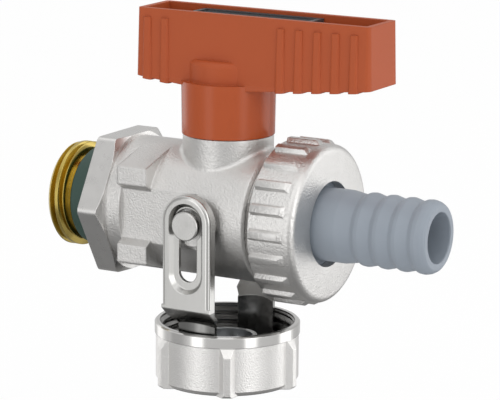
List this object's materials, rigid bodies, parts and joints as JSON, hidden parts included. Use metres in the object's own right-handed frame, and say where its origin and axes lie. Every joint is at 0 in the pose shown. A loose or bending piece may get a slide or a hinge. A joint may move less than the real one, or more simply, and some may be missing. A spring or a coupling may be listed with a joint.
{
  "type": "boiler drain cock",
  "caption": "Quarter-turn drain valve with a self-sealing male inlet, bar handle, barbed hose tail under a union nut, and a closing cap on a swinging bail.",
  "frame": {"origin": "centre of the inlet thread's free end", "axes": "+X along the waterway from the inlet to the hose tail, +Y to the back, +Z along the stem towards the handle"},
  "size_m": [0.0817, 0.0336, 0.0736],
  "materials": {
    "nickel": "satin",
    "polished": "polished",
    "zinc": "satin",
    "brass": "satin",
    "green_seal": "matte",
    "black_rubber": "matte",
    "seat_white": "satin",
    "orange_plastic": "satin",
    "dark_plastic": "satin",
    "grey_plastic": "satin"
  },
  "bodies": {
    "valve": {"valve_body": "nickel", "inlet_nipple": "brass", "inlet_seal": "green_seal", "nipple_seal": "black_rubber", "seat_ring_inlet": "seat_white", "seat_ring_outlet": "seat_white", "bail_pin_front": "nickel", "bail_pin_rear": "nickel"},
    "handle": {"handle": "orange_plastic", "handle_insert": "dark_plastic", "handle_screw": "zinc", "stem": "brass", "stem_washer": "seat_white", "stem_o_ring_lower": "black_rubber", "stem_o_ring_upper": "black_rubber", "ball": "polished"},
    "tail": {"hose_tail": "grey_plastic", "tail_gasket": "black_rubber"},
    "nut": {"union_nut": "nickel"},
    "bail": {"bail": "polished", "cap_hub": "zinc", "cap_gasket": "black_rubber", "cap_rivet": "zinc"},
    "cap": {"cap": "nickel"}
  },
  "joints": [
    {"name": "handle_turn", "type": "hinge", "parent": "valve", "child": "handle", "pos_m": [0.0357, 0, 0], "axis": [0, 0, -1], "range_deg": [0, 90]},
    {"name": "tail_slide", "type": "slide", "parent": "valve", "child": "tail", "axis": [1, 0, 0], "range_m": [0, 0.0037]},
    {"name": "nut_turn", "type": "hinge", "parent": "tail", "child": "nut", "pos_m": [0.0535, 0, 0], "axis": [1, 0, 0], "range_deg": [0, 720]},
    {"name": "bail_swing", "type": "hinge", "parent": "valve", "child": "bail", "pos_m": [0.0357, 0, 0], "axis": [0, -1, 0], "range_deg": [-25, 17]},
    {"name": "cap_spin", "type": "hinge", "parent": "bail", "child": "cap", "pos_m": [0.0357, 0, -0.032], "axis": [0, 0, 1], "continuous": true}
  ],
  "couplings": [
    {"joint": "tail_slide", "follows": "nut_turn", "m_per_rad": 0.00028871}
  ]
}
